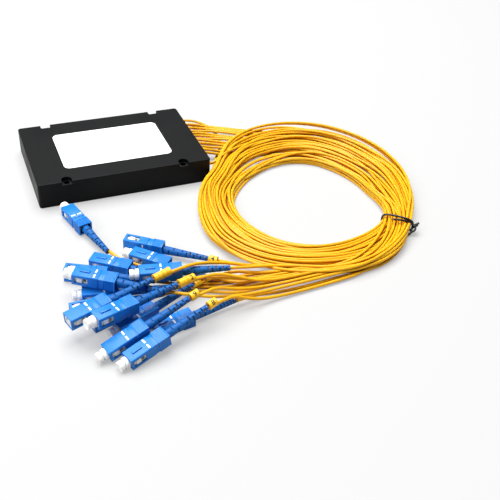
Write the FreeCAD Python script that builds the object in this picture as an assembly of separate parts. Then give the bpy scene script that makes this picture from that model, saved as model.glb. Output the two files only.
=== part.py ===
# PLC fibre splitter: black ABS module with a coiled loom of seventeen 2 mm
# cables, each ending in a blue push-pull SC plug.  Lengths in mm, origin at the
# middle of the box's underside, X along the box, Z up.
import FreeCAD, Part
import os, math
from FreeCAD import Vector as V

# ---- overall sizes ---------------------------------------------------------
BOX_L = 120.0          # box length, X
BOX_W = 80.0           # box width, Y
BOX_H = 18.0           # box height
WALL = 2.0
FLOOR = 1.8
LID_T = 2.0
HOLE_DX = 81.0         # fixing holes, spacing along the box
HOLE_INSET = 3.0       # hole centre from the long edge
HOLE_R = 2.0
POCKET_W = 7.0
POCKET_IN = 6.2
POCKET_D = 2.5
EDGE_R = 0.6           # softened outer edges
LABEL_L, LABEL_W, LABEL_T = 76.0, 47.0, 0.15

CABLE_R = 1.0          # 2 mm jacket
LEADS = 16             # output leads in the row
LEAD_PITCH = 3.0
ROW_Y = 9.5              # middle of the row of output leads
LEAD_Z = 9.0

COIL_A = 103.0         # coil outline, long half axis
COIL_B = 74.0          # coil outline, short half axis
COIL_IN = 52.0         # inner radius
COIL_H = 9.0
COIL_TURN = 59.3       # direction of the long axis, degrees

# plug, along its own axis from the front (x = 0) to the boot's tip
SLEEVE_L, SLEEVE_W, SLEEVE_T = 25.0, 9.0, 7.4
BORE_W, BORE_T = 7.2, 5.7
FRAME_W, FRAME_T, FRAME_L = 6.9, 5.4, 21.0
FERRULE_R = 1.25
CRIMP_X = 27.0
BOOT_X0, BOOT_X1 = 25.0, 53.5
BOOT_R0, BOOT_R1 = 2.65, 1.6
BOOT_SLOTS, SLOT_W = 11, 0.75
SLOT_PITCH, SLOT_EASE = 3.0, 0.14     # first spacing, and how much each next one is less
SLOT_X = 28.8          # first slot in the boot
GRIP_RIBS, RIB_PITCH, RIB_GAP, RIB_DEEP = 6, 1.0, 0.4, 0.16
RING_X, RING_PLAY = 54.4, 0.25
RING_L, RING_R = 5.5, 2.6
SLIM, SLIM_L, SLIM_R = "jm", 3.4, 1.75    # the rings on these two tails are the small size

XR = BOX_L / 2.0       # right face
YB = BOX_W / 2.0       # long faces
OX = XR - 60.0         # everything outside the box follows its front right corner
OY = 40.0 - YB

os.makedirs("parts", exist_ok=True)


def save(name, shapes):
    if not isinstance(shapes, (list, tuple)):
        shapes = [shapes]
    solids = []
    for s in shapes:
        solids += s.Solids
    out = solids[0] if len(solids) == 1 else Part.makeCompound(solids)
    out.exportStep("parts/%s.step" % name)
    vol = sum(s.Volume for s in solids)
    ok = all(s.isValid() for s in solids)
    print("%-18s solids %3d  volume %10.2f  valid %s" % (name, len(solids), vol, ok))


def box(x0, x1, y0, y1, z0, z1):
    return Part.makeBox(x1 - x0, y1 - y0, z1 - z0, V(x0, y0, z0))


def cyl(r, x0, x1, y=0.0, z=0.0):
    """cylinder along X"""
    return Part.makeCylinder(r, x1 - x0, V(x0, y, z), V(1, 0, 0))


def rounded(x0, x1, y0, y1, z0, z1, r):
    b = box(x0, x1, y0, y1, z0, z1)
    edges = [e for e in b.Edges
             if abs(e.Vertexes[0].X - e.Vertexes[1].X) < 1e-6
             and abs(e.Vertexes[0].Y - e.Vertexes[1].Y) < 1e-6]
    return b.makeFillet(r, edges)


# ---- box -------------------------------------------------------------------
def make_box():
    rim = BOX_H - LID_T
    hole_y = YB - HOLE_INSET
    base = rounded(-XR, XR, -YB, YB, 0, rim, 2.0)
    base = base.makeFillet(EDGE_R, [e for e in base.Edges if e.BoundBox.ZMax < 1e-4])
    base = base.cut(rounded(-XR + WALL, XR - WALL, -YB + WALL, YB - WALL, FLOOR, rim + 1, 1.0))
    lid = rounded(-XR, XR, -YB, YB, rim, BOX_H, 2.0)
    top = [e for e in lid.Edges if e.BoundBox.ZMin > BOX_H - 1e-4]
    lid = lid.makeFillet(EDGE_R, top)
    for sx in (-1, 1):
        for sy in (-1, 1):
            cx = sx * HOLE_DX / 2.0
            y0, y1 = sorted((sy * (YB - 8.4), sy * (YB - 0.5)))
            base = base.fuse(box(cx - 5.2, cx + 5.2, y0, y1, FLOOR - 0.3, rim))
    cuts = []
    for sx in (-1, 1):
        for sy in (-1, 1):
            cx = sx * HOLE_DX / 2.0
            y0, y1 = sorted((sy * (YB - POCKET_IN + POCKET_W / 2.0), sy * (YB + 1)))
            slot = box(cx - POCKET_W / 2.0, cx + POCKET_W / 2.0, y0, y1, BOX_H - POCKET_D, BOX_H + 1)
            slot = slot.fuse(Part.makeCylinder(POCKET_W / 2.0, POCKET_D + 1,
                             V(cx, sy * (YB - POCKET_IN + POCKET_W / 2.0), BOX_H - POCKET_D)))
            cuts.append(slot)
            cuts.append(Part.makeCylinder(HOLE_R, BOX_H + 2, V(cx, sy * hole_y, -1)))
    for c in cuts:
        base = base.cut(c)
        lid = lid.cut(c)
    # rails under the lid that locate it between the walls
    for sy in (-1, 1):
        y0, y1 = sorted((sy * (YB - WALL - 0.1), sy * (YB - WALL - 1.3)))
        lid = lid.fuse(box(-HOLE_DX / 2.0 + 8, HOLE_DX / 2.0 - 8, y0, y1, rim - 2.5, rim))
    # opening for the lead comb, a ledge under it, and a seat for the chip
    y0, y1 = comb_span()
    base = base.cut(box(XR - WALL - 1, XR + 1, y0, y1, 4.5, rim + 1))
    base = base.fuse(box(XR - 10, XR - WALL, y0, y1, FLOOR - 0.3, 4.5))
    return base.removeSplitter(), lid.removeSplitter()


def lead_y(i):
    return ROW_Y + LEAD_PITCH * (i - (LEADS - 1) / 2.0)


IN_Y = -28.0
COMB_END = 4.0           # comb past its outermost leads, unless the wall is nearer


def comb_span():
    return IN_Y - COMB_END, min(lead_y(LEADS - 1) + COMB_END, YB - WALL)


def make_comb():
    y0, y1 = comb_span()
    comb = box(XR - 10, XR, y0, y1, 4.5, BOX_H - LID_T)
    for y in [IN_Y] + [lead_y(i) for i in range(LEADS)]:
        comb = comb.cut(cyl(CABLE_R, XR - 11, XR + 1, y, LEAD_Z))
    return comb


# ---- cables ----------------------------------------------------------------
def tube(name, pts, r):
    """straight runs joined by tangent arcs, swept with a round section"""
    edges, prev, length, tight = [], V(*pts[0]), 0.0, 1e9
    for k in range(1, len(pts) - 1):
        a, b, c = V(*pts[k - 1]), V(*pts[k]), V(*pts[k + 1])
        u, w = (a - b), (c - b)
        l1, l2 = u.Length, w.Length
        u.normalize()
        w.normalize()
        turn = math.pi - u.getAngle(w)
        tl = 0.45 * min(l1, l2)
        rad = tl / math.tan(turn / 2.0)
        tight = min(tight, rad)
        p, q = b + u * tl, b + w * tl
        bis = u + w
        bis.normalize()
        mid = b + bis * (math.hypot(rad, tl) - rad)
        edges.append(Part.LineSegment(prev, p).toShape())
        arc = Part.Arc(p, mid, q).toShape()
        edges.append(arc)
        length += (p - prev).Length + arc.Length
        prev = q
    last = V(*pts[-1])
    edges.append(Part.LineSegment(prev, last).toShape())
    length += (last - prev).Length
    wire = Part.Wire(edges)
    d = V(*pts[1]) - V(*pts[0])
    ring = Part.Wire([Part.makeCircle(r, V(*pts[0]), d)])
    solid = wire.makePipeShell([ring], True, False)
    solid = Part.Solid(solid) if solid.ShapeType == "Shell" else solid
    want = math.pi * r * r * length
    flag = "" if abs(solid.Volume / want - 1) < 0.01 else "  VOLUME OFF"
    print("tube %-12s length %7.1f  tightest %6.1f  volume/ideal %.4f%s"
          % (name, length, tight, solid.Volume / want, flag))
    return solid, length


def out(p):
    """a place outside the box, given for the 120 x 80 box"""
    return (p[0] + OX, p[1] + OY, p[2])


def coil_ring(grow, z0, z1, soft):
    ax = math.radians(COIL_TURN)
    cx, cy = 123.0 + OX, -80.0 + OY
    el = Part.Ellipse(V(cx, cy, z0) + V(math.cos(ax), math.sin(ax), 0) * (COIL_A + grow),
                      V(cx, cy, z0) + V(-math.sin(ax), math.cos(ax), 0) * (COIL_B + grow),
                      V(cx, cy, z0))
    outer = Part.Wire([el.toShape()])
    body = Part.Face(outer).extrude(V(0, 0, z1 - z0))
    hole = Part.makeCylinder(COIL_IN - grow, z1 - z0 + 2, V(116.0 + OX, -92.0 + OY, z0 - 1))
    body = body.cut(hole)
    top = [e for e in body.Edges if e.BoundBox.ZMin > z1 - 1e-4]
    return body.makeFillet(soft, top)


def make_coil():
    coil = coil_ring(0.0, 0.0, COIL_H, 2.4)
    slab = box(0, 90, -0.7, 0.7, -1, COIL_H + 3)
    slab.rotate(V(0, 0, 0), V(0, 0, 1), -43.0)
    slab.translate(V(116.0 + OX, -92.0 + OY, 0))
    tie = slab.common(coil_ring(0.9, 0.0, COIL_H + 0.9, 2.6))
    tie = tie.cut(coil_ring(0.0, 0.9, COIL_H, 2.4))
    coil = coil.cut(tie)
    return coil, tie


# plugs: front centre (x, y, z), heading, dip and roll in degrees
PLUGS = {
    "a": (-44, -52.5, 4.5, -75, 0, 180),
    "b": (-17.5, -98, 4.6, -36, 0, 90),
    "c": (-16.5, -110.5, 3.9, -44, 0, 0),
    "d": (-41, -108.6, 3.9, -37.5, 0, 0),
    "n": (-20, -138.7, 11.4, -12, 0, 0),
    "x": (-58.5, -115.5, 4.6, -27, 0, 90),
    "e": (-55.9, -131.5, 14.6, -31, 3, 0),
    "f": (-53.5, -138.6, 4.5, -11, 0, 180),
    "g": (-63, -151.3, 4.6, -1, 0, 90),
    "i": (-67, -167.5, 13.4, 16.5, -4, 180),
    "h": (-54, -175, 16.8, 18, 2, 0),
    "p": (-53.8, -164.1, 4.6, 13.5, -4.7, 90),
    "j": (-41.5, -172, 3.9, 21, -3.3, 0),
    "k": (-51.7, -188, 4.6, 15.1, -14, 180),
    "l": (-42.8, -197, 4.1, 18.9, -10, 0),
    "m": (-24.5, -179.6, 3.9, 10.5, 0, 0),
    "q": (5, 46.5, 3.9, 0, 0, 0),
}
# where each tail goes after it leaves its boot straight: distance along the
# plug's axis to the first bend, then places on the way to the coil
TAILS = {
    "a": [60.7, (-15.5, -120.2, 2.8), (3, -137, 1.6), (17, -147.4, 1.1), (50, -147.8, 1.3)],
    "b": [70, (50, -143, 3.6)],
    "c": [68, (50, -156, 4.6)],
    "d": [61, (16, -149.4, 2.2), (33, -152, 1.4), (50, -151.2, 1.4)],
    "x": [64, (12, -150.4, 1.5), (33, -155.6, 1.3), (50, -154.6, 1.4)],
    "f": [66, (33, -158.8, 1.6), (50, -158, 1.4)],
    "g": [64, (14, -154.5, 2.2), (33, -162, 1.3), (50, -161.4, 1.4)],
    "n": [66, (62, -150.5, 6.0)],
    "i": [72, (24, -142.2, 12.5), (50, -146.2, 5.6)],
    "h": [74, (34, -157.6, 10.6), (50, -162.8, 6.0)],
    "p": [66, (22, -153.8, 10.3), (50, -159.8, 5.2)],
    "j": [74, (50, -153.2, 5.0)],
    "k": [66, (28, -167.5, 10), (50, -165.8, 5.0)],
    "e": [70, (30, -171.5, 8.0), (50, -169.2, 5.0)],
    "m": [62, (52, -168.3, 1.4), (74, -169.5, 1.6)],
    "l": [67, (34, -174.5, 7), (52, -173.2, 1.8)],
    "q": [63, (83, 39, 1.7), (88, 21, 1.2), (84, 2, 1.2), (73, -15, 1.2), (66, -30, 1.2)],
}
CAPPED = "acefhjklnq"
RINGS = {"i": 2, "h": 2, "j": 2, "k": 1, "l": 1, "m": 1, "b": 1}
# which plug each output lead ends in; the input lead ends in plug q
ORDER = "bacdxfgnijpkhmel"


def spot(n):
    x, y, z, h, p, r = PLUGS[n]
    if n == "q":
        return V(x + OX, y - OY, z)
    return V(x + OX, y + OY, z)


def place(n):
    x, y, z, h, p, r = PLUGS[n]
    return FreeCAD.Placement(spot(n), FreeCAD.Rotation(h, p, r))


def put(shape, n):
    s = shape.copy()
    s.Placement = place(n).multiply(s.Placement)
    return s


def along(n, s):
    v = place(n).multVec(V(s, 0, 0))
    return (v.x, v.y, v.z)


def tail_points(n):
    t = TAILS[n]
    pts = [along(n, CRIMP_X), along(n, t[0])] + [out(p) for p in t[1:]]
    if n != "q":
        y = t[-1][1]
        u = (-143.0 - y) / 28.5
        pts.append(out((66.0 + 36.0 * u, -149.5 - 19.5 * u, t[-1][2])))
    return pts


def lead_points(i):
    y = lead_y(i)
    t = i / (LEADS - 1.0)
    return [(XR - 10, y, LEAD_Z), (XR + 12, y, LEAD_Z),
            out((86 + 16 * t, lead_y(i) - 3.2 - 9.5 * t, 4.8)), out((96 + 26 * t, -19 + 27 * t, 2.6))]


def input_points():
    return [(XR - 10, IN_Y, LEAD_Z), (XR + 9, IN_Y, LEAD_Z), out((86, -34, 5.0))]


# ---- plug pieces, in the plug's own frame ----------------------------------
def make_sleeve():
    w, t = SLEEVE_W / 2.0, SLEEVE_T / 2.0
    a = box(0, 15.2, -w, w, -t, t)
    long_edges = [e for e in a.Edges if abs(e.Vertexes[0].X - e.Vertexes[1].X) > 1]
    a = a.makeFillet(0.7, long_edges)
    b = box(15, 18, -w + 0.35, w - 0.35, -t + 0.3, t - 0.3)
    c = box(17.8, SLEEVE_L, -w, w, -t, t)
    s = a.fuse(b).fuse(c)
    for k in range(GRIP_RIBS):
        x = SLEEVE_L - 6.3 + RIB_PITCH * k
        g = box(x, x + RIB_GAP, -w - 1, w + 1, -t - 1, t + 1)
        g = g.cut(box(x - 1, x + 2, -w + RIB_DEEP, w - RIB_DEEP, -t + RIB_DEEP, t - RIB_DEEP))
        s = s.cut(g)
    s = s.fuse(box(3.5, 9.5, -0.8, 0.8, t - 0.2, t + 0.7))
    s = s.cut(box(-1, SLEEVE_L + 1, -BORE_W / 2, BORE_W / 2, -BORE_T / 2, BORE_T / 2))
    s = s.cut(box(1.5, 9.2, -w - 1, w + 1, -1.9, 1.9))
    return s.removeSplitter()


def make_frame():
    w, t = FRAME_W / 2.0, FRAME_T / 2.0
    f = box(0.3, FRAME_L, -w, w, -t, t)
    f = f.fuse(box(3.1, 6.0, -4.1, 4.1, -1.6, 1.6))
    f = f.cut(cyl(2.35, -1, 8.5))
    f = f.cut(box(6.4, 8.4, -w - 1, w + 1, -1.4, 1.4))
    f = f.cut(cyl(FERRULE_R + 0.05, 8, 10))
    f = f.cut(cyl(2.2, 9.5, FRAME_L + 1))
    return f.removeSplitter()


def make_ferrule():
    f = cyl(FERRULE_R, 0.6, 11.0).fuse(cyl(2.0, 9.5, 11.8))
    return f.removeSplitter()


def make_spring():
    h = Part.makeHelix(1.7, 5.1, 1.6)
    c = Part.makeCircle(0.34, V(1.6, 0, 0), V(0, 1, 0.17))
    s = h.makePipeShell([Part.Wire([c])], True, True)
    s = Part.Solid(s) if s.ShapeType == "Shell" else s
    s.rotate(V(0, 0, 0), V(0, 1, 0), 90)
    s.translate(V(12.3, 0, 0))
    return s


def make_post():
    p = cyl(2.15, 18.0, FRAME_L + 0.6).fuse(cyl(1.45, FRAME_L + 0.6, CRIMP_X))
    return p.cut(cyl(0.5, 17, CRIMP_X + 1)).removeSplitter()


def make_crimp():
    return cyl(1.85, 22.0, CRIMP_X).cut(cyl(1.45, 21, CRIMP_X + 1))


def make_boot():
    body = cyl(BOOT_R0, BOOT_X0, BOOT_X0 + 3)
    cone = Part.makeCone(BOOT_R0, BOOT_R1, BOOT_X1 - BOOT_X0 - 3, V(BOOT_X0 + 3, 0, 0), V(1, 0, 0))
    b = body.fuse(cone)
    b = b.cut(cyl(1.85, BOOT_X0 - 1, CRIMP_X))
    b = b.cut(cyl(CABLE_R, CRIMP_X - 1, BOOT_X1 + 1))
    # flex slots, by turns across the top and bottom and across the sides; the
    # ones in the tail half are deep enough to bare the cable
    for k in range(BOOT_SLOTS):
        x = SLOT_X + SLOT_PITCH * k - SLOT_EASE * k * (k - 1) / 2.0
        deep = CABLE_R + 0.7 if k < 4 else CABLE_R - 0.1
        for side in (-1, 1):
            low, high = sorted((side * deep, side * (BOOT_R0 + 1)))
            if k % 2:
                b = b.cut(box(x, x + SLOT_W, low, high, -4, 4))
            else:
                b = b.cut(box(x, x + SLOT_W, -4, 4, low, high))
    return b.removeSplitter()


def make_ring(n, k):
    length, radius = (SLIM_L, SLIM_R) if n in SLIM else (RING_L, RING_R)
    x = RING_X + length * k
    return cyl(radius, x, x + length - 0.15).cut(cyl(CABLE_R + RING_PLAY, x - 1, x + length + 1))


def make_cap():
    c = cyl(3.3, -2.3, -0.1).fuse(cyl(2.3, -3.1, -2.2)).fuse(cyl(3.0, -5.5, -3.0)).fuse(cyl(2.2, -0.2, 4.5))
    c = c.cut(cyl(FERRULE_R + 0.05, -1.2, 6))
    dish = Part.makeSphere(6.0, V(-10.9, 0, 0))
    return c.cut(dish).removeSplitter()


def main():
    base, lid = make_box()
    save("box_base", base)
    save("box_lid", lid)
    label = rounded(-LABEL_L / 2 - 0.8, LABEL_L / 2 - 0.8, -LABEL_W / 2 - 0.8, LABEL_W / 2 - 0.8,
                    BOX_H, BOX_H + LABEL_T, 4.0)
    save("top_label", label)
    save("lead_comb", make_comb())

    # inside: chip tube, ribbon, fan-out block and the bare buffer tubes
    mid = ROW_Y
    chip = box(-34, 6, mid - 2, mid + 2, FLOOR, FLOOR + 4)
    save("splitter_chip", chip)
    ribbon = box(6, 18, mid - 1.9, mid + 1.9, FLOOR + 1.8, FLOOR + 2.2)
    save("fibre_ribbon", ribbon)
    block = box(18, 30, mid - 13.5, mid + 13.5, FLOOR, FLOOR + 5)
    save("fanout_block", block)
    buffers = []
    for i in range(LEADS):
        a = V(29.5, mid - 12.0 + 24.0 * i / (LEADS - 1.0), FLOOR + 2.6)
        b = V(XR - 10, lead_y(i), LEAD_Z)
        buffers.append(Part.makeCylinder(0.35, (b - a).Length, a, b - a)
                       .cut(block).cut(box(XR - 10, XR, -YB, YB, 0, BOX_H)))
    side = [(XR - 10, IN_Y, LEAD_Z), (XR - 40, IN_Y + 1, 6.0), (-20, IN_Y, 5.0), (-46, IN_Y + 4, 4.4),
            (-52, -6, FLOOR + 2.4), (-46, mid, FLOOR + 2.0), (-34, mid, FLOOR + 2.0)]
    buffers.append(tube("buffer in", side, 0.35)[0].cut(box(XR - 10, XR, -YB, YB, 0, BOX_H)))
    save("buffer_tubes", buffers)

    coil, tie = make_coil()
    save("cable_coil", coil)
    save("twist_tie", tie)

    # cables: the lead from the box to the coil and the tail to the plug
    tin, l0 = tube("input lead", input_points(), CABLE_R)
    tq, l1 = tube("tail q", tail_points("q"), CABLE_R)
    save("input_cable", [tin.cut(coil), tq.cut(coil)])
    for k in range(LEADS // 2):
        group = []
        for i in (2 * k, 2 * k + 1):
            n = ORDER[i]
            a, la = tube("lead %d" % (i + 1), lead_points(i), CABLE_R)
            b, lb = tube("tail %s" % n, tail_points(n), CABLE_R)
            group += [a.cut(coil), b.cut(coil)]
        save("output_cable_%d" % (k + 1), group)

    sleeve, frame, ferrule = make_sleeve(), make_frame(), make_ferrule()
    spring, post, crimp, boot, cap = make_spring(), make_post(), make_crimp(), make_boot(), make_cap()
    names = sorted(PLUGS)
    save("plug_frames", [put(frame, n) for n in names])
    save("ferrules", [put(ferrule, n) for n in names])
    save("ferrule_springs", [put(spring, n) for n in names])
    save("crimp_posts", [put(post, n) for n in names])
    save("crimp_rings", [put(crimp, n) for n in names])
    save("boots", [put(boot, n) for n in names])
    save("marker_rings", [put(make_ring(n, k), n) for n in names for k in range(RINGS.get(n, 0))])
    for n in names:
        save("grip_%s" % n, put(sleeve, n))
    for n in CAPPED:
        save("cap_%s" % n, put(cap, n))


main()
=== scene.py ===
"""Looks of a planar fibre splitter: a black ABS box, one tied coil of seventeen
yellow cables and a pile of blue push-pull plugs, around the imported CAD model."""

import math

import bmesh
import bpy
import numpy as np
from bpy.props import FloatProperty, FloatVectorProperty, IntProperty, PointerProperty
from mathutils import Euler, Matrix, Vector


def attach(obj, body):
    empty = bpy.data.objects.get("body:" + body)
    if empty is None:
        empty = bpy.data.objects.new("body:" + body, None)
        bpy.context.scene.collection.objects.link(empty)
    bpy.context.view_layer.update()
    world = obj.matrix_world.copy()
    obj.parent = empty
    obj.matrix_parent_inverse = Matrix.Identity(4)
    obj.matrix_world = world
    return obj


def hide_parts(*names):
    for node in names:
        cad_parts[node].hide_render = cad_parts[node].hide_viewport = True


bl_info = {
    "name": "Fibre splitter looks",
    "version": (1, 0, 0),
    "blender": (4, 5, 0),
    "location": "3D View > Sidebar > Splitter",
    "description": "Finishes a planar fibre splitter with its cables, plugs and stage",
    "category": "Object",
}

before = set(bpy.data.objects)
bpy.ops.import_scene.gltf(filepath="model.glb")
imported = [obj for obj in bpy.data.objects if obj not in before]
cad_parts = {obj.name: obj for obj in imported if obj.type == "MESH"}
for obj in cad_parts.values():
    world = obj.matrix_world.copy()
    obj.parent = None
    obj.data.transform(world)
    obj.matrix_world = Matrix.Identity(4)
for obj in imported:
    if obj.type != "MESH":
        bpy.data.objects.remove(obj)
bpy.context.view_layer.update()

MM = 0.001
MODULE = "module"

# ---- where things lie, in millimetres from the middle of the box's underside ----

# plug: front centre x, y, z, then heading, dip and roll in degrees
PLUGS = {
    "a": (-44, -52.5, 4.5, -75, 0, 180),
    "b": (-17.5, -98, 4.6, -36, 0, 90),
    "c": (-16.5, -110.5, 3.9, -44, 0, 0),
    "d": (-41, -108.6, 3.9, -37.5, 0, 0),
    "n": (-20, -138.7, 11.4, -12, 0, 0),
    "x": (-58.5, -115.5, 4.6, -27, 0, 90),
    "e": (-55.9, -131.5, 14.6, -31, 3, 0),
    "f": (-53.5, -138.6, 4.5, -11, 0, 180),
    "g": (-63, -151.3, 4.6, -1, 0, 90),
    "i": (-67, -167.5, 13.4, 16.5, -4, 180),
    "h": (-54, -175, 16.8, 18, 2, 0),
    "p": (-53.8, -164.1, 4.6, 13.5, -4.7, 90),
    "j": (-41.5, -172, 3.9, 21, -3.3, 0),
    "k": (-51.7, -188, 4.6, 15.1, -14, 180),
    "l": (-42.8, -197, 4.1, 18.9, -10, 0),
    "m": (-24.5, -179.6, 3.9, 10.5, 0, 0),
    "q": (5, 46.5, 3.9, 0, 0, 0),
}
# tail of each cable: straight length from the plug's front, then places towards the coil
TAILS = {
    "a": (60.7, (-15.5, -120.2, 2.8), (3, -137, 1.6), (17, -147.4, 1.1), (50, -147.8, 1.3)),
    "b": (70, (50, -143, 3.6)),
    "c": (68, (50, -156, 4.6)),
    "d": (61, (16, -149.4, 2.2), (33, -152, 1.4), (50, -151.2, 1.4)),
    "x": (64, (12, -150.4, 1.5), (33, -155.6, 1.3), (50, -154.6, 1.4)),
    "f": (66, (33, -158.8, 1.6), (50, -158, 1.4)),
    "g": (64, (14, -154.5, 2.2), (33, -162, 1.3), (50, -161.4, 1.4)),
    "n": (66, (62, -150.5, 6.0)),
    "i": (72, (24, -142.2, 12.5), (50, -146.2, 5.6)),
    "h": (74, (34, -157.6, 10.6), (50, -162.8, 6.0)),
    "p": (66, (22, -153.8, 10.3), (50, -159.8, 5.2)),
    "j": (74, (50, -153.2, 5.0)),
    "k": (66, (28, -167.5, 10), (50, -165.8, 5.0)),
    "e": (70, (30, -171.5, 8.0), (50, -169.2, 5.0)),
    "m": (62, (52, -168.3, 1.4), (74, -169.5, 1.6)),
    "l": (67, (34, -174.5, 7), (52, -173.2, 1.8)),
    "q": (63, (83, 39, 1.7), (88, 21, 1.2), (84, 2, 1.2), (73, -15, 1.2), (66, -30, 1.2)),
}
ORDER = "bacdxfgnijpkhmel"      # the plug that each output cable ends in
CAPPED = "acefhjklnq"
NUMBERS = {"i": "11", "h": "12", "j": "10", "k": "9", "l": "8", "m": "7", "b": "4"}
CRIMP_X = 27.0                  # where the jacket ends inside the boot
RIBS_X = (18.4, 24.95)          # the sleeve's fine grip ribs, too small to round
SLOTS_X = (28.3, 53)            # the part of the boot that has flex slots
DASH_SIZE = (0.95, 2.9, 0.06)   # printed dashes on the sleeve's wide faces
DASH_X, DASH_Y, DASH_Z = 12.6, 2.15, 3.71
RING_X, RING_BORE = 54.4, 1.25
RING_L, RING_R = 5.5, 2.6       # pitch along the cable and outside radius
SLIM, SLIM_L, SLIM_R = "jm", 3.4, 1.75      # the small size of ring
RING_GAP = 0.15                 # between two rings on one cable
DIGIT_TURN = 0.6                # how far round the ring a digit leans, in radians

LEAD_PITCH, LEAD_Y, LEAD_Z, INPUT_Y = 3.0, -13.0, 9.0, -28.0

# coil: radius of its inner and outer edge at every 15 degrees, counter-clockwise
# from +X, about the middle of its hole
COIL_CENTRE = (113.0, -90.0)
STEP = 15
INNER = (47, 48, 49.5, 52, 55.5, 55.5, 53, 50.8, 49.2, 48.6, 49.6, 51,
         51, 50.5, 51, 52, 51.5, 50, 49.5, 49.5, 51, 53.2, 53.2, 50)
OUTER = (83, 91, 101, 109, 113.5, 112, 105, 93.5, 80, 72.2, 74.6, 76.2,
         79, 82, 84.5, 84, 82, 80.5, 79, 75.5, 73.5, 72.5, 72.5, 77)
TIE_ANGLE = -42.0
# the tails pass x = 50 side by side, from this y towards the front, and join the coil
# along a slanting line
GATE_Y, GATE_WIDTH = -143.0, 28.5
JOIN_FROM, JOIN_BY = (66.0, -149.5), (36.0, -19.5)
# the coil is heaped against the box's corner: how high its outer turns are held at the
# stations around it
HEAP = {5: 0.6, 6: 2.0, 7: 4.5, 8: 7.5, 9: 9.0, 10: 8.0, 11: 5.5, 12: 3.0, 13: 1.2}
# the leads sag and bunch in four little groups: the middle of each lead's group, and its
# height a little way out of the box
LEAD_GROUP = (1, 1, 1, 4.5, 4.5, 4.5, 4.5, 8.5, 8.5, 8.5, 8.5, 13, 13, 13, 13, 13)
LEAD_SAG = (5.2, 7.4, 6.0, 4.8, 7.6, 5.4, 8.0, 5.0, 7.2, 9.0, 5.8, 5.0, 7.4, 5.6, 8.6, 6.4)
LEAD_LEAN = 0.42                # share of the way to its group's middle that a lead leans

# ---- stage, in metres and watts ----

FLOOR_HALF = 3.0
SOFTBOXES = (                   # name, place, target, side, power
    ("softbox_back", (-0.1, 0.6, 2.1), (0.05, -0.08, 0.0), 2.0, 108.0),
    ("softbox_left", (-1.5, -0.3, 1.2), (0.0, -0.08, 0.0), 0.9, 17.0),
)
CAMERA_PLACE = (-0.10534, -0.47079, 0.29482)
CAMERA_RIGHT = (0.92324, -0.37946, 0.06030)
CAMERA_DOWN = (-0.18832, -0.58371, -0.78982)
CAMERA_AHEAD = (0.33490, 0.71784, -0.61037)
CAMERA_LENS, CAMERA_SENSOR = 54.66, 36.0    # millimetres


# ---- small helpers ----------------------------------------------------------

def linear(hex_colour):
    """An sRGB hex colour as linear red, green, blue and a full alpha."""
    parts = [int(hex_colour[i:i + 2], 16) / 255 for i in (1, 3, 5)]
    return [p / 12.92 if p <= 0.04045 else ((p + 0.055) / 1.055) ** 2.4 for p in parts] + [1.0]


def colour_property(name, description, hex_colour):
    return FloatVectorProperty(name=name, description=description, subtype="COLOR", size=4,
                               min=0.0, max=1.0, default=linear(hex_colour))


def add(tree, kind, values=None, links=None, **settings):
    """Adds a node, sets its properties and sockets, and links its inputs."""
    node = tree.nodes.new(kind)
    for name, value in settings.items():
        setattr(node, name, value)
    for socket, value in (values or {}).items():
        node.inputs[socket].default_value = value
    for socket, source in (links or {}).items():
        tree.links.new(source, node.inputs[socket])
    return node


def new_material(name):
    """An empty material and its node tree."""
    material = bpy.data.materials.new(name)
    material.use_nodes = True
    material.node_tree.nodes.clear()
    return material, material.node_tree


def plug_matrix(name):
    """From a plug's own frame, its front face at the origin and its cable along +X."""
    x, y, z, heading, dip, roll = PLUGS[name]
    turn = Euler([math.radians(a) for a in (roll, dip, heading)], "XYZ").to_matrix().to_4x4()
    return Matrix.Translation(Vector((x, y, z)) * MM) @ turn


def finish_piece(obj, body, slot, *nodes):
    """Puts a piece on its body and hides the CAD nodes it stands for; the finish's name it is given is not
    used.
    """
    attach(obj, body)
    if nodes:
        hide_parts(*nodes)
    return obj


def mesh_object(name, bm, materials, smooth_angle=35.0):
    """A smooth-shaded object made from a bmesh, which is freed."""
    mesh = bpy.data.meshes.new(name)
    bm.to_mesh(mesh)
    bm.free()
    for material in materials:
        mesh.materials.append(material)
    mesh.shade_smooth()
    mesh.set_sharp_from_angle(angle=math.radians(smooth_angle))
    obj = bpy.data.objects.new(name, mesh)
    bpy.context.scene.collection.objects.link(obj)
    return obj


def settings():
    """The sizes and the colours that the panel shows."""
    return bpy.context.scene.splitter_sizes, bpy.context.scene.splitter_colours


# ---- finishes ----------------------------------------------------------------

def moulded(name, colour, roughness, grain, depth, mottle=0.06, patch=9.0, **shader):
    """Injection-moulded plastic: an even colour with faint flow patches, and the
    fine grain of the mould's steel, grain millimetres across and depth deep."""
    material, tree = new_material(name)
    place = add(tree, "ShaderNodeTexCoord").outputs["Object"]
    patches = add(tree, "ShaderNodeTexNoise", {"Scale": 1 / (patch * MM), "Detail": 3.0},
                  {"Vector": place})
    fine = add(tree, "ShaderNodeTexNoise", {"Scale": 1 / (grain * MM), "Detail": 2.0},
               {"Vector": place})
    dark = [c * (1 - mottle) for c in colour[:3]] + [1.0]
    pale = [min(1.0, c * (1 + mottle)) for c in colour[:3]] + [1.0]
    tint = add(tree, "ShaderNodeMix", {6: dark, 7: pale}, {0: patches.outputs["Fac"]}, data_type="RGBA")
    rough = add(tree, "ShaderNodeMapRange",
                {"From Min": 0.3, "From Max": 0.7, "To Min": roughness * 0.88, "To Max": roughness * 1.12},
                {"Value": patches.outputs["Fac"]})
    bump = add(tree, "ShaderNodeBump", {"Strength": 1.0, "Distance": depth * MM},
               {"Height": fine.outputs["Fac"]})
    body = add(tree, "ShaderNodeBsdfPrincipled", shader,
               {"Base Color": tint.outputs[2], "Roughness": rough.outputs[0], "Normal": bump.outputs[0]})
    add(tree, "ShaderNodeOutputMaterial", links={"Surface": body.outputs[0]})
    return material


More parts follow.
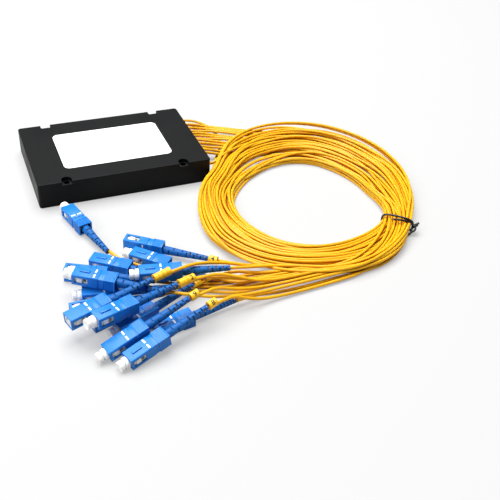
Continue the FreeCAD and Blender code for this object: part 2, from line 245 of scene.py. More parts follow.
def box_abs(colours):
    # black ABS with a spark-eroded grain: a satin sheen that turns grey at a low angle
    return moulded("moulded_abs", colours.abs_black, 0.46, 0.45, 0.028, 0.10, 22.0,
                   **{"IOR": 1.54, "Specular IOR Level": 0.1})


def comb_abs(colours):
    # the insert is the same resin from a rougher mould
    return moulded("moulded_comb", colours.abs_black, 0.6, 0.6, 0.03, IOR=1.54)


def label_vinyl(colours):
    # bare white film: nearly even, with a slight orange peel from the glue under it
    return moulded("label_film", colours.label_white, 0.42, 2.5, 0.01, 0.012, 16.0, IOR=1.46)


def cable_jacket(colours):
    # soft extruded PVC: smooth and waxy, with a little light scattered inside the jacket; the seams between
    # touching turns are painted a deeper orange, as painted shade
    material = moulded("extruded_jacket", colours.jacket_yellow, 0.36, 1.1, 0.004, 0.04, 14.0,
                       **{"IOR": 1.52, "Specular IOR Level": 0.3, "Subsurface Weight": 0.45,
                          "Subsurface Scale": 0.0016, "Subsurface Radius": (1.0, 0.5, 0.1)})
    tree = material.node_tree
    body = next(n for n in tree.nodes if n.type == "BSDF_PRINCIPLED")
    tint = body.inputs["Base Color"].links[0].from_socket
    # painted shade: where the occlusion mask finds turns close by, the jacket's colour is mixed towards the
    # dark orange shade colour
    painted_shade_mask = add(tree, "ShaderNodeAmbientOcclusion", {"Distance": 4 * MM}, samples=8)
    open_share = add(tree, "ShaderNodeMapRange", {"From Min": 0.15, "From Max": 0.62},
                     {"Value": painted_shade_mask.outputs["AO"]})
    shade_paint = add(tree, "ShaderNodeMix", {6: colours.jacket_painted_shade}, {0: open_share.outputs[0], 7: tint},
               data_type="RGBA")
    tree.links.new(shade_paint.outputs[2], body.inputs["Base Color"])
    return material


def plug_plastic(colours):
    # glass-free polymer from a polished mould: satin gloss, clear highlights on the edges
    return moulded("moulded_plug", colours.plug_blue, 0.33, 0.5, 0.008, 0.05, 6.0,
                   **{"IOR": 1.5, "Specular IOR Level": 0.28})


def boot_rubber(colours):
    # soft elastomer: the same blue, flatter and a touch darker
    return moulded("moulded_boot", colours.boot_blue, 0.5, 0.35, 0.014, 0.07, 4.0,
                   **{"IOR": 1.5, "Specular IOR Level": 0.22})


def slot_painted_shade(colours):
    # painted shade: the slots' walls and floors are a dark, dull blue that stands in for the shade inside
    # them
    dark = [c * 0.16 for c in colours.boot_blue[:3]] + [1.0]
    return moulded("boot_slot_painted_shade", dark, 0.75, 0.3, 0.02, 0.15, 2.0)


def frame_plastic(colours):
    # warm white polyester resin: slightly glossy, faintly creamy in its corners
    return moulded("moulded_frame", colours.frame_white, 0.4, 0.4, 0.008, 0.03, 4.0, IOR=1.5)


def cap_polythene(colours):
    # milky soft polythene: glows where it is thin
    return moulded("soft_polythene", colours.cap_white, 0.38, 0.6, 0.01, 0.02, 3.0,
                   **{"IOR": 1.5, "Subsurface Weight": 0.2, "Subsurface Scale": 0.0015})


def dash_paint(colours):
    # pad-printed ink: a thin, even, satin film
    return moulded("pad_printed_white", colours.label_white, 0.5, 0.2, 0.006, 0.02, 2.0)


def ring_plastic(colours):
    # soft PVC ring: a fuller yellow than the jackets, with a satin face
    return moulded("marker_ring", colours.marker_yellow, 0.42, 0.4, 0.01, 0.05, 3.0, IOR=1.5)


def ink(colours):
    # stamped ink: flat black
    return moulded("marker_ink", colours.tie_black, 0.6, 0.2, 0.004, 0.1, 1.0)


def tie_plastic(colours):
    # PVC skin over a steel core, glossy where it is bent
    return moulded("tie_skin", colours.tie_black, 0.32, 0.7, 0.02, 0.15, 3.0, IOR=1.52)


def zirconia(colours):
    # ground and polished ceramic, the smoothest piece here
    return moulded("polished_zirconia", colours.frame_white, 0.12, 0.3, 0.002, 0.02, 2.0, IOR=2.1)


def buffer_tube(colours):
    # extruded fluoropolymer tubing: smooth, milky and slippery
    return moulded("buffer_tubing", colours.cap_white, 0.3, 0.5, 0.006, 0.03, 4.0, IOR=1.38)


def drawn_metal(name, hex_colour, roughness):
    """Drawn or turned metal: fine lines round the piece in its roughness and relief."""
    material, tree = new_material(name)
    place = add(tree, "ShaderNodeTexCoord").outputs["Object"]
    lines = add(tree, "ShaderNodeTexNoise", {"Scale": 1 / (0.25 * MM), "Detail": 4.0, "Distortion": 0.4},
                {"Vector": place})
    rough = add(tree, "ShaderNodeMapRange", {"To Min": roughness * 0.7, "To Max": roughness * 1.3},
                {"Value": lines.outputs["Fac"]})
    bump = add(tree, "ShaderNodeBump", {"Strength": 1.0, "Distance": 0.004 * MM},
               {"Height": lines.outputs["Fac"]})
    body = add(tree, "ShaderNodeBsdfPrincipled", {"Base Color": linear(hex_colour), "Metallic": 1.0},
               {"Roughness": rough.outputs[0], "Normal": bump.outputs[0]})
    add(tree, "ShaderNodeOutputMaterial", links={"Surface": body.outputs[0]})
    return material


# ---- sizes and colours that a user would change --------------------------------

class SplitterSizes(bpy.types.PropertyGroup):
    cable: FloatProperty(name="Cable diameter", description="Outside of the yellow jacket", default=0.002,
                         unit="LENGTH", min=0.001, max=0.004)
    edge: FloatProperty(name="Plug edge", description="Radius that softens the plugs' edges", default=0.00013,
                        unit="LENGTH", min=0.00002, max=0.0003)
    tie_wire: FloatProperty(name="Tie wire", description="Thickness of the twist tie", default=0.0015,
                            unit="LENGTH", min=0.0005, max=0.002)
    settle: IntProperty(name="Settling steps", description="How long the coil's turns are let settle",
                        default=420, min=20, max=2000)
    stray: FloatProperty(name="Stray", description="How far turns wander across the bundle", default=0.34,
                         min=0.0, max=1.0, subtype="FACTOR")


class SplitterColours(bpy.types.PropertyGroup):
    abs_black: colour_property("Box", "Black ABS of the box", "#0C0D0E")
    label_white: colour_property("Label", "Bare label and the printed dashes", "#F4F4F3")
    jacket_yellow: colour_property("Cable", "Cable jacket", "#DFA80B")
    # painted shade: the dark orange that the jacket is painted where turns touch
    jacket_painted_shade: colour_property("Cable, shaded", "Cable jacket between touching turns", "#B03C08")
    marker_yellow: colour_property("Marker", "Number rings", "#F2BA12")
    plug_blue: colour_property("Plug", "Outer sleeve of the plugs", "#1A75CB")
    boot_blue: colour_property("Boot", "Cable boot", "#0F5AA2")
    frame_white: colour_property("Plug frame", "Inner frame of the plugs", "#E9E7E1")
    cap_white: colour_property("Dust cap", "Soft dust caps", "#F1F1F0")
    tie_black: colour_property("Tie", "Skin of the twist tie", "#0C0C0D")


# ---- stage -----------------------------------------------------------------------

class SPLITTER_OT_stage(bpy.types.Operator):
    """Pale floor, soft light and the camera"""
    bl_idname = "splitter.stage"
    bl_label = "Stage"

    def execute(self, context):
        scene = context.scene
        bm = bmesh.new()
        bmesh.ops.create_grid(bm, x_segments=1, y_segments=1, size=FLOOR_HALF)
        # matt seamless paper, lifted a little where it is seen, as a brightly lit sweep is
        material, tree = new_material("pale_floor")
        matt = add(tree, "ShaderNodeBsdfDiffuse", {"Color": linear("#B9B9B9")})
        lifted = add(tree, "ShaderNodeEmission", {"Color": linear("#FBFBFB")})
        view = add(tree, "ShaderNodeLightPath")
        share = add(tree, "ShaderNodeMath", {1: 0.4}, {0: view.outputs["Is Camera Ray"]},
                    operation="MULTIPLY")
        seen = add(tree, "ShaderNodeMixShader", None,
                   {0: share.outputs[0], 1: matt.outputs[0], 2: lifted.outputs[0]})
        add(tree, "ShaderNodeOutputMaterial", links={"Surface": seen.outputs[0]})
        mesh_object("floor", bm, [material])

        world = bpy.data.worlds.new("studio")
        world.use_nodes = True
        tree = world.node_tree
        tree.nodes.clear()
        white = add(tree, "ShaderNodeBackground", {"Color": linear("#FFFFFF"), "Strength": 0.2})
        add(tree, "ShaderNodeOutputWorld", links={"Surface": white.outputs[0]})
        scene.world = world

        for box in SOFTBOXES:
            self.softbox(*box)

        lens = bpy.data.cameras.new("camera")
        lens.sensor_width = CAMERA_SENSOR
        lens.lens = CAMERA_LENS
        lens.clip_start = 0.01
        camera = bpy.data.objects.new("camera", lens)
        right, down, ahead = Vector(CAMERA_RIGHT), Vector(CAMERA_DOWN), Vector(CAMERA_AHEAD)
        turn = Matrix((right, -down, -ahead)).transposed().to_4x4()
        camera.matrix_world = Matrix.Translation(CAMERA_PLACE) @ turn
        scene.collection.objects.link(camera)
        scene.camera = camera
        scene.view_settings.view_transform = "Standard"
        return {"FINISHED"}

    @staticmethod
    def softbox(name, place, target, size, power):
        """A square area light aimed at a point."""
        light = bpy.data.lights.new(name, "AREA")
        light.size = size
        light.energy = power
        lamp = bpy.data.objects.new(name, light)
        aim = (Vector(target) - Vector(place)).to_track_quat("-Z", "Y")
        lamp.matrix_world = Matrix.LocRotScale(Vector(place), aim, None)
        bpy.context.scene.collection.objects.link(lamp)


# ---- box and the pieces in it ------------------------------------------------------

class SPLITTER_OT_box(bpy.types.Operator):
    """Finishes of the box, its label and the pieces inside"""
    bl_idname = "splitter.box"
    bl_label = "Box"

    def execute(self, context):
        _, colours = settings()
        steel = drawn_metal("drawn_steel", "#B9BABC", 0.3)
        black, insert = box_abs(colours), comb_abs(colours)
        film = label_vinyl(colours)
        nickel = drawn_metal("nickel_plate", "#C9C3B2", 0.22)
        aluminium = drawn_metal("plain_aluminium", "#C4C5C7", 0.35)
        tubing, ceramic = buffer_tube(colours), zirconia(colours)
        finishes = {
            "box_base": black, "box_lid": black, "lead_comb": insert, "fanout_block": insert,
            "top_label": film, "splitter_chip": steel, "ferrule_springs": steel,
            "crimp_posts": nickel, "crimp_rings": aluminium,
            "fibre_ribbon": tubing, "buffer_tubes": tubing, "ferrules": ceramic,
        }
        for node, material in finishes.items():
            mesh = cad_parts[node].data
            mesh.materials.clear()
            mesh.materials.append(material)
        return {"FINISHED"}


# ---- plugs --------------------------------------------------------------------------

def template(node, width):
    """One plug's share of a CAD node, in the plug's own frame, with softened edges.
    Plug q lies apart from the rest, so whatever is near it is its own."""
    back = plug_matrix("q").inverted()
    bm = bmesh.new()
    bm.from_mesh(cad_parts[node].data)
    bmesh.ops.transform(bm, matrix=back, verts=bm.verts)
    far = [v for v in bm.verts if max(abs(v.co.y), abs(v.co.z)) > 6 * MM or not -9 * MM < v.co.x < 60 * MM]
    bmesh.ops.delete(bm, geom=far, context="VERTS")
    bmesh.ops.remove_doubles(bm, verts=bm.verts, dist=0.001 * MM)
    bmesh.ops.dissolve_limit(bm, angle_limit=math.radians(1.5), verts=bm.verts, edges=bm.edges)
    corners = [e for e in bm.edges if e.is_manifold and e.calc_face_angle(0) > math.radians(32)
               and not all(RIBS_X[0] * MM < v.co.x < RIBS_X[1] * MM for v in e.verts)]
    bmesh.ops.bevel(bm, geom=corners, offset=width, offset_type="OFFSET", segments=2, profile=0.5,
                    affect="EDGES", clamp_overlap=True, material=-1)
    bmesh.ops.triangulate(bm, faces=[f for f in bm.faces if len(f.verts) > 4])
    return bm


def placed(bm, name):
    """A copy of a template where that plug lies."""
    copy = bm.copy()
    bmesh.ops.transform(copy, matrix=plug_matrix(name), verts=copy.verts)
    return copy


def add_dashes(bm):
    """Two short printed dashes across both wide faces of the sleeve."""
    for face in (-1, 1):
        for side in (-1, 1):
            made = bmesh.ops.create_cube(bm, size=1.0)["verts"]
            bmesh.ops.scale(bm, vec=[c * MM for c in DASH_SIZE], verts=made)
            bmesh.ops.translate(bm, vec=(DASH_X * MM, side * DASH_Y * MM, face * DASH_Z * MM), verts=made)
            for f in {f for v in made for f in v.link_faces}:
                f.material_index = 1


class SPLITTER_OT_plugs(bpy.types.Operator):
    """Sleeve, frame, boot and dust cap of every plug"""
    bl_idname = "splitter.plugs"
    bl_label = "Plugs"

    def execute(self, context):
        sizes, colours = settings()
        blue, white = plug_plastic(colours), dash_paint(colours)
        soft, shade_paint = boot_rubber(colours), slot_painted_shade(colours)
        pale, milky = frame_plastic(colours), cap_polythene(colours)
        sleeve = template("grip_q", sizes.edge)
        add_dashes(sleeve)
        inner = template("plug_frames", sizes.edge * 0.6)
        # faces in the flex slots get the dark blue of painted shade
        boot = template("boots", sizes.edge * 0.8)
        for f in boot.faces:
            if SLOTS_X[0] * MM < f.calc_center_median().x < SLOTS_X[1] * MM and self.in_slot(f):
                f.material_index = 1
        cap = template("cap_q", sizes.edge)
        for name in PLUGS:
            grip = mesh_object("sleeve_" + name, placed(sleeve, name), [blue, white])
            finish_piece(grip, "grip_" + name, "plug_blue", "grip_" + name)
            core = mesh_object("core_" + name, placed(inner, name), [pale])
            finish_piece(core, MODULE, "frame_white", "plug_frames")
            tail = mesh_object("boot_" + name, placed(boot, name), [soft, shade_paint])
            finish_piece(tail, MODULE, "boot_blue", "boots")
            if name in CAPPED:
                stopper = mesh_object("dust_cap_" + name, placed(cap, name), [milky])
                finish_piece(stopper, "cap_" + name, "cap_clear", "cap_" + name)
        for bm in (sleeve, inner, boot, cap):
            bm.free()
        return {"FINISHED"}

    @staticmethod
    def in_slot(face):
        """True for the walls and the floor of a flex slot, false for the boot's outside."""
        spot = face.calc_center_median()
        outward = Vector((0, spot.y, spot.z))
        return abs(face.normal.x) > 0.8 or face.normal.dot(outward.normalized()) < 0.7


class SPLITTER_OT_rings(bpy.types.Operator):
    """Yellow number rings behind some boots"""
    bl_idname = "splitter.rings"
    bl_label = "Number rings"

    def execute(self, context):
        _, colours = settings()
        yellow, black = ring_plastic(colours), ink(colours)
        for name, digits in NUMBERS.items():
            length, radius = (SLIM_L, SLIM_R) if name in SLIM else (RING_L, RING_R)
            whole = bmesh.new()
            for k, digit in enumerate(digits):
                self.ring(whole, RING_X + length * k, length - RING_GAP, radius, digit, PLUGS[name][5])
            rings = mesh_object("number_rings_" + name, placed(whole, name), [yellow, black])
            finish_piece(rings, MODULE, "marker_yellow", "marker_rings")
            whole.free()
        return {"FINISHED"}

    @staticmethod
    def ring(whole, start, length, radius, digit, roll):
        """One slip-on ring with a raised lip at each end and a plain digit on two sides,
        turned against the plug's own roll."""
        half = [(0.0, RING_BORE), (0.0, radius - 0.12), (0.12, radius), (0.5, radius), (0.62, radius - 0.14)]
        profile = half + [(length - x, r) for x, r in reversed(half)]
        bm = bmesh.new()
        verts = [bm.verts.new(((start + x) * MM, 0.0, r * MM)) for x, r in profile]
        edges = [bm.edges.new(pair) for pair in zip(verts, verts[1:] + verts[:1])]
        bmesh.ops.spin(bm, geom=verts + edges, cent=(0, 0, 0), axis=(1, 0, 0), angle=math.tau,
                       steps=36, use_merge=True)
        bmesh.ops.recalc_face_normals(bm, faces=bm.faces)
        mark = bpy.data.curves.new("digit", "FONT")
        mark.body = digit
        mark.size = 0.78 * length * MM
        mark.offset = 0.08 * MM
        mark.align_x = mark.align_y = "CENTER"
        holder = bpy.data.objects.new("digit", mark)
        flat = bpy.data.meshes.new_from_object(holder)
        glyph = bmesh.new()
        glyph.from_mesh(flat)
        bmesh.ops.triangulate(glyph, faces=glyph.faces)
        long_edges = [e for e in glyph.edges if e.calc_length() > 0.5 * MM]
        bmesh.ops.subdivide_edges(glyph, edges=long_edges, cuts=2)
        middle, reach = (start + length / 2) * MM, (radius - 0.11) * MM
        first = math.radians(roll) - DIGIT_TURN
        for turn in (first, first + math.pi):
            copy = glyph.copy()
            for v in copy.verts:
                angle = turn + v.co.y / reach
                v.co = Vector((middle + v.co.x, reach * math.sin(angle), reach * math.cos(angle)))
            for f in copy.faces:
                f.material_index = 1
            SPLITTER_OT_rings.join(bm, copy)
        glyph.free()
        bpy.data.objects.remove(holder)
        bpy.data.curves.remove(mark)
        bpy.data.meshes.remove(flat)
        SPLITTER_OT_rings.join(whole, bm)

    @staticmethod
    def join(target, source):
        """Adds one bmesh to another and frees it."""
        carrier = bpy.data.meshes.new("carrier")
        source.to_mesh(carrier)
        source.free()
        target.from_mesh(carrier)
        bpy.data.meshes.remove(carrier)


# ---- cables ----------------------------------------------------------------------------

def along(name, distance):
    """A place on a plug's own line, so many millimetres behind its front."""
    point = plug_matrix(name) @ Vector((distance * MM, 0, 0))
    return tuple(c / MM for c in point)


def lead_route(i):
    """From inside the comb to where output cable i goes under the coil."""
    y = LEAD_Y + LEAD_PITCH * i
    t = i / 15.0
    return [(50, y, LEAD_Z), (72, y, LEAD_Z), (86 + 16 * t, y - 3.2 - 9.5 * t, 4.8),
            (96 + 26 * t, -19 + 27 * t, 2.6)]


def tail_route(name):
    """From the crimp, out of the boot and on to where the cable joins the coil."""
    bend, *places = TAILS[name]
    route = [along(name, CRIMP_X), along(name, bend)] + [tuple(p) for p in places]
    if name != "q":
        _, y, z = places[-1]
        share = (GATE_Y - y) / GATE_WIDTH
        route.append((JOIN_FROM[0] + JOIN_BY[0] * share, JOIN_FROM[1] + JOIN_BY[1] * share, z))
    return route


def polar(point):
    """Angle in degrees and radius about the middle of the coil's hole."""
    dx, dy = point[0] - COIL_CENTRE[0], point[1] - COIL_CENTRE[1]
    return math.degrees(math.atan2(dy, dx)), math.hypot(dx, dy)


class Coil:
    """Cross-sections of the loom every 15 degrees. Each cable's turns start where they
    would lie by their rank, then settle: they sink, spread and climb over each other
    until no two share the same place, and stay smooth along their length."""
    SEED = 11
    WANDER = 0.10           # how far a turn drifts across the bundle, as a share of its width
    CLUMP, CLUMPS = 0.045, 5        # how far turns draw together, and into how many clumps
    SINK, HOME = 0.10, 0.025        # per step: millimetres down, and pull towards its own rank
    SMOOTH, SPREAD, CLIMB = 0.26, 0.42, 0.12    # share of each fault mended per step
    RAMP = 20.0             # width over which the heap at the box's corner rises

    def __init__(self, leads, tails, gap, steps, stray):
        self.gap, self.spans = gap, {}
        luck = np.random.default_rng(self.SEED)
        rows = []
        for order, name in enumerate(leads):
            entry = [(*polar(p), p[2]) for p in leads[name][1:]]
            a0, r0, _ = entry[-1]
            a1, r1 = polar(tails[name][0])
            a1 -= 360.0 * (3 if name == "q" else 2)         # whole turns before the tail leaves
            r1 = min(r1, OUTER[math.ceil((a1 + 6) / STEP) % 24] - gap / 2)
            # each turn's rank across the bundle, nought inside and one outside
            ranks = [(order * 7 % 17 + 0.5) / 17 if name != "q" else 0.93]
            for k in range(3):
                ranks.append(float(np.clip(ranks[-1] + luck.uniform(-stray, stray), 0.02, 0.98)))
            wave, phase = luck.uniform(0.7, 1.5, 2), luck.uniform(0, math.tau, 2)
            first, last = math.floor(entry[0][0] / STEP), math.ceil((a1 + 6) / STEP)
            self.spans[name] = (len(rows), first - last + 1)
            for k in range(first, last - 1, -1):
                low, high = INNER[k % 24] + gap / 2, OUTER[k % 24] - gap / 2
                angle = k * STEP
                if angle > a0:
                    turning = [-e[0] for e in entry]
                    r = float(np.interp(-angle, turning, [e[1] for e in entry]))
                    r += self.bunch(order) * (1 if name != "q" else 0)
                    z = 1.2 if r < high else 3.0 + order % 3
                    rows.append((k, r, z, r - 2.5, r + 2.5, 1.0))
                    continue
                swept = (a0 - angle) / 360.0
                turn = min(int(swept), 2)
                share = ranks[turn] + (ranks[turn + 1] - ranks[turn]) * (swept - turn)
                share += self.WANDER * math.sin(math.tau * wave[0] * swept + phase[0])
                sway = 0.08 * math.sin(math.radians(angle))
                share += self.CLUMP * math.sin(math.tau * (self.CLUMPS * share + sway) + 1.3 * turn)
                share = min(max(share, 0.0), 1.0) ** self.lean(k % 24)
                if 2 <= k % 24 <= 6:
                    share = share * 0.9 if share < 0.86 else share
                r = low + (high - low) * share * self.room(k % 24, turn)
                z = 1.2 + 2.3 * turn + 1.3 * math.sin(math.tau * wave[1] * swept + phase[1])
                near = max(0.0, 1 - swept * 360 / 70)
                away = max(0.0, 1 - (k - last) / 6)
                away *= away * (3 - 2 * away)
                r += (r0 - r) * near * near * (3 - 2 * near)
                r += (r1 - r) * away
                z += (1.2 - z) * near
                z += (tails[name][0][2] - z) * away
                rows.append((k, r, max(z, 1.0), low, max(high, r + 0.5) if away > 0.5 else high, 1.0))
            rows[-1] = (*rows[-1][:5], 0.0)
        for name in leads:
            angle, r = polar(tails[name][0])
            rows.append((round(angle / STEP), r, tails[name][0][2], 0.0, 999.0, 0.0))
        table = np.array(rows)
        self.k = table[:, 0].astype(int)
        self.home, self.low, self.high, self.free = table[:, 1], table[:, 3], table[:, 4], table[:, 5]
        self.pos = table[:, 1:3].copy()
        self.settle(steps)

    @staticmethod
    def bunch(i):
        """How far a lead leans towards the middle of its little group, in millimetres."""
        return 1.5 * (LEAD_GROUP[i] - i) if i < len(LEAD_GROUP) else 0.0

    @staticmethod
    def lean(k):
        """Below one where the turns lie heaped against the box."""
        return {8: 0.85, 9: 0.7, 10: 0.7, 11: 0.85}.get(k, 1.0)

    @staticmethod
    def room(k, turn):
        """Share of the width that a turn may use: the last turn leaves the others the inside
        where the tails part from the coil."""
        if turn < 2 and 14 <= k <= 20:
            return (0.84, 0.74, 0.66, 0.64, 0.68, 0.8, 0.92)[k - 14]
        return 1.0

    def settle(self, steps):
        """Lets every turn find its place beside, on or under the others."""
        groups = [np.flatnonzero(self.k % 24 == g) for g in range(24)]
        width = max(len(g) for g in groups)
        index = np.full((24, width), -1)
        for row, g in zip(index, groups):
            row[:len(g)] = g
        real = index >= 0
        pair = real[:, :, None] & real[:, None, :] & ~np.eye(width, dtype=bool)
        inside = np.zeros(len(self.k), bool)
        goes_on = np.zeros(len(self.k), bool)
        for begin, count in self.spans.values():
            inside[begin + 1:begin + count - 1] = True
            goes_on[begin:begin + count - 1] = True
        following = np.where(goes_on, np.arange(len(self.k)) + 1, 0)
        spans = pair & goes_on[index][:, :, None] & goes_on[index][:, None, :]
        turned = (self.k * STEP - TIE_ANGLE + 180) % 360 - 180
        floor = self.gap / 2 + 1.1 * np.exp(-(turned / 16.0) ** 2)
        free = self.free
        heap = np.array([HEAP.get(k % 24, 0.0) for k in self.k])
        edge = np.array([OUTER[k % 24] for k in self.k])
        for step in range(steps):
            calm = 1 - step / steps
            p = self.pos
            p[:, 1] -= self.SINK * free * (0.3 + calm)
            p[:, 0] += self.HOME * max(calm, 0.25) * (self.home - p[:, 0]) * free
            off = np.stack([p[:, 0] - self.home, p[:, 1]], 1)
            mean = off.copy()
            mean[1:-1] = 0.5 * (off[:-2] + off[2:])
            p += self.SMOOTH * (mean - off) * (inside * free)[:, None]
            at = p[index]
            gap = at[:, :, None] - at[:, None, :]
            far = np.linalg.norm(gap, axis=3) + 1e-6
            push = np.where(pair, np.clip(self.gap * 1.02 - far, 0, None), 0)
            move = (gap / far[..., None] * push[..., None]).sum(2) * self.SPREAD
            count = np.maximum((push > 0).sum(2), 1)
            move = move / np.sqrt(count)[..., None]
            flat = np.zeros_like(p)
            np.add.at(flat, index[real], move[real])
            if step % 2 == 0:
                self.uncross(p, index, following, spans, gap, flat)
            p += flat * free[:, None]
            p[:, 0] = np.where(free > 0, np.clip(p[:, 0], self.low, self.high), p[:, 0])
            ramp = heap * np.clip((p[:, 0] - edge + self.RAMP) / self.RAMP, 0, 1)
            p[:, 1] = np.where(free > 0, np.maximum(p[:, 1], floor + ramp), p[:, 1])

    def uncross(self, p, index, following, spans, gap, flat):
        """Lifts one of two turns that change sides between two cross-sections over the other."""
        ahead = p[following[index]]
        next_gap = ahead[:, :, None] - ahead[:, None, :]
        d0, d1 = gap[..., 0], next_gap[..., 0]
        swaps = spans & (d0 * d1 < 0)
        part = np.abs(d0) / (np.abs(d0) + np.abs(d1) + 1e-6)
        rise = gap[..., 1] * (1 - part) + next_gap[..., 1] * part
        lack = np.where(swaps, np.clip(self.gap - np.abs(rise), 0, None), 0) * self.CLIMB
        lift = lack * np.where(rise >= 0, 1, -1)
        for whole, weight in ((index, 1 - part), (following[index], part)):
            np.add.at(flat[:, 1], whole[spans.any(2)], (lift * weight).sum(2)[spans.any(2)])

    def turns(self, name):
        """The places of one cable's turns, from its lead to its tail."""
        begin, count = self.spans[name]
        places = []
        for i in range(begin, begin + count):
            angle = math.radians(self.k[i] * STEP)
            r, z = self.pos[i]
            places.append((COIL_CENTRE[0] + r * math.cos(angle), COIL_CENTRE[1] + r * math.sin(angle), z))
        return places

    def section(self, angle):
        """Radius and height of every turn at an angle."""
        low = math.floor(angle / STEP)
        part = angle / STEP - low
        found = []
        for begin, count in self.spans.values():
            for i in range(begin, begin + count - 1):
                if self.k[i + 1] % 24 == low % 24:
                    found.append(self.pos[i] * part + self.pos[i + 1] * (1 - part))
        return np.array(found)


def cable_curve(name, points, diameter, material):
    """One open spline through the route's control points. A curve's box grows by its points'
    radius, so they hold the tube's radius and the bevel is one metre deep."""
    data = bpy.data.curves.new(name, "CURVE")
    data.dimensions = "3D"
    spline = data.splines.new("NURBS")
    spline.points.add(len(points) - 1)
    for control, point in zip(spline.points, points):
        control.co = (*(c * MM for c in point), 1.0)
        control.radius = diameter / 2
    spline.order_u = 3
    spline.use_endpoint_u = True
    data.bevel_depth = 1.0
    data.bevel_resolution = 3
    data.resolution_u = 5
    data.use_fill_caps = True
    data.materials.append(material)
    obj = bpy.data.objects.new(name, data)
    bpy.context.scene.collection.objects.link(obj)
    return obj


def curve_length(obj):
    """Length of a cable's own line."""
    depth, obj.data.bevel_depth = obj.data.bevel_depth, 0.0
    bpy.context.view_layer.update()
    line = bpy.data.meshes.new_from_object(obj.evaluated_get(bpy.context.evaluated_depsgraph_get()))
    places = [v.co for v in line.vertices]
    length = sum((places[a] - places[b]).length for a, b in (e.vertices for e in line.edges))
    bpy.data.meshes.remove(line)
    obj.data.bevel_depth = depth
    return length


loom = {}       # the settled coil, kept for the tie that goes round it


class SPLITTER_OT_cables(bpy.types.Operator):
    """Seventeen cables, each from the comb through the coil to its plug"""
    bl_idname = "splitter.cables"
    bl_label = "Cables"

    def execute(self, context):
        sizes, colours = settings()
        jacket = cable_jacket(colours)
        leads = {name: lead_route(i) for i, name in enumerate(ORDER)}
        leads["q"] = [(50, INPUT_Y, LEAD_Z), (66, INPUT_Y, LEAD_Z), (73, -23, 2.0)]
        tails = {name: tail_route(name)[::-1] for name in leads}
        coil = Coil(leads, tails, sizes.cable / MM + 0.04, sizes.settle, sizes.stray)
        loom["coil"] = coil
        for number, name in enumerate(leads):
            (x, y, z), (_, side, _), *_ = leads[name]
            out = [(x, y, z), (60, y, z), (66, side, 5.5)]
            if name != "q":
                lean = LEAD_LEAN * LEAD_PITCH * (LEAD_GROUP[number] - number)
                out[-1] = (70.5, y + lean, LEAD_SAG[number])
            route = out + coil.turns(name) + tails[name]
            label = "cable_in" if name == "q" else "cable_%02d" % (number + 1)
            cable = cable_curve(label, route, sizes.cable, jacket)
            node = "input_cable" if name == "q" else "output_cable_%d" % (number // 2 + 1)
            finish_piece(cable, MODULE, "cable_yellow", node, "cable_coil")
            round(curve_length(cable), 3)
        return {"FINISHED"}


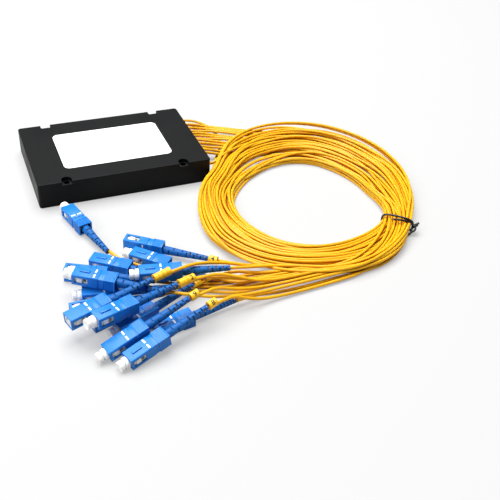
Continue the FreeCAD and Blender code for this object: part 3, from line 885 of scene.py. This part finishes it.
class SPLITTER_OT_tie(bpy.types.Operator):
    """Black twist tie round the coil, with its twisted ends"""
    bl_idname = "splitter.tie"
    bl_label = "Twist tie"
    SQUARENESS = 0.62       # one would be an oval loop, less is nearer to a rectangle

    def execute(self, context):
        sizes, colours = settings()
        wire = sizes.tie_wire / MM
        turns = loom["coil"].section(TIE_ANGLE)
        inner, outer = turns[:, 0].min(), turns[:, 0].max()
        top = turns[:, 1].max() + sizes.cable / MM / 2
        half, middle = (outer - inner) / 2 + sizes.cable / MM / 2 + 0.9, (inner + outer) / 2
        loop = []
        for k in range(20):
            a = math.tau * k / 20
            c, s = math.cos(a), math.sin(a)
            r = middle + half * math.copysign(abs(c) ** self.SQUARENESS, c)
            z = top / 2 + (top / 2 + wire / 2 + 0.35) * math.copysign(abs(s) ** self.SQUARENESS, s)
            loop.append((r, max(z, wire / 2), 0.8 * s))
        r, z, high = outer + 3.4, 5.8, top + wire / 2 + 0.25
        ends = [
            [(middle - 2.5, high - 0.2, 5.0), (middle + 1.0, high + 0.3, 4.6),
             (middle + 5.0, high - 0.1, 3.6), (outer - 0.6, high - 1.0, 2.6),
             (outer + 1.8, 6.6, 1.4), (r, z, 0.2)],
            [(r - 1.0, z + 0.2, 1.5), (r + 0.9, z + 0.9, 0.6), (r + 1.4, z - 0.2, -0.9),
             (r + 0.2, z - 1.1, -1.2), (r - 0.6, z - 0.1, 0.0), (r + 0.8, z + 1.1, -0.4),
             (r + 1.9, z + 1.6, -1.4)],
            [(r, z, 0.2), (r + 1.0, 4.6, 2.2), (r - 0.2, 3.2, 4.0), (r - 2.0, 2.9, 3.6),
             (r - 1.7, 3.9, 1.6), (r, z, 0.0)],
            [(r - 0.8, 3.4, 3.6), (r - 1.8, 2.0, 5.2), (r - 3.4, 0.9, 7.2)],
        ]
        data = bpy.data.curves.new("twist_wire", "CURVE")
        data.dimensions = "3D"
        self.strand(data, loop, True)
        for points in ends:
            self.strand(data, points, False)
        data.bevel_depth = sizes.tie_wire / 2
        data.bevel_resolution = 3
        data.resolution_u = 6
        data.use_fill_caps = True
        data.materials.append(tie_plastic(colours))
        obj = bpy.data.objects.new("twist_wire", data)
        context.scene.collection.objects.link(obj)
        finish_piece(obj, MODULE, "tie_black", "twist_tie")
        return {"FINISHED"}

    @staticmethod
    def strand(data, points, closed):
        """A strand through points given as radius, height and distance clockwise from the tie."""
        a = math.radians(TIE_ANGLE)
        spline = data.splines.new("NURBS")
        spline.points.add(len(points) - 1)
        for control, (r, z, s) in zip(spline.points, points):
            x = COIL_CENTRE[0] + r * math.cos(a) + s * math.sin(a)
            y = COIL_CENTRE[1] + r * math.sin(a) - s * math.cos(a)
            control.co = (x * MM, y * MM, z * MM, 1.0)
        spline.order_u = 3
        spline.use_cyclic_u = closed
        spline.use_endpoint_u = not closed


class SPLITTER_PT_panel(bpy.types.Panel):
    """Steps that finish the splitter"""
    bl_label = "Fibre splitter"
    bl_idname = "SPLITTER_PT_panel"
    bl_space_type = "VIEW_3D"
    bl_region_type = "UI"
    bl_category = "Splitter"

    def draw(self, context):
        for group in (context.scene.splitter_sizes, context.scene.splitter_colours):
            for name in group.bl_rna.properties.keys():
                if name not in ("rna_type", "name"):
                    self.layout.prop(group, name)
        for operator in OPERATORS:
            self.layout.operator(operator.bl_idname)


OPERATORS = (SPLITTER_OT_stage, SPLITTER_OT_box, SPLITTER_OT_plugs, SPLITTER_OT_rings, SPLITTER_OT_cables,
             SPLITTER_OT_tie)
CLASSES = (SplitterSizes, SplitterColours, *OPERATORS, SPLITTER_PT_panel)


def register():
    for cls in CLASSES:
        bpy.utils.register_class(cls)
    bpy.types.Scene.splitter_sizes = PointerProperty(type=SplitterSizes)
    bpy.types.Scene.splitter_colours = PointerProperty(type=SplitterColours)


def unregister():
    del bpy.types.Scene.splitter_colours
    del bpy.types.Scene.splitter_sizes
    for cls in reversed(CLASSES):
        bpy.utils.unregister_class(cls)


def main():
    register()
    bpy.ops.splitter.stage()
    bpy.ops.splitter.box()
    bpy.ops.splitter.plugs()
    bpy.ops.splitter.rings()
    bpy.ops.splitter.cables()
    bpy.ops.splitter.tie()
    bpy.context.view_layer.update()


if __name__ == "__main__":
    main()
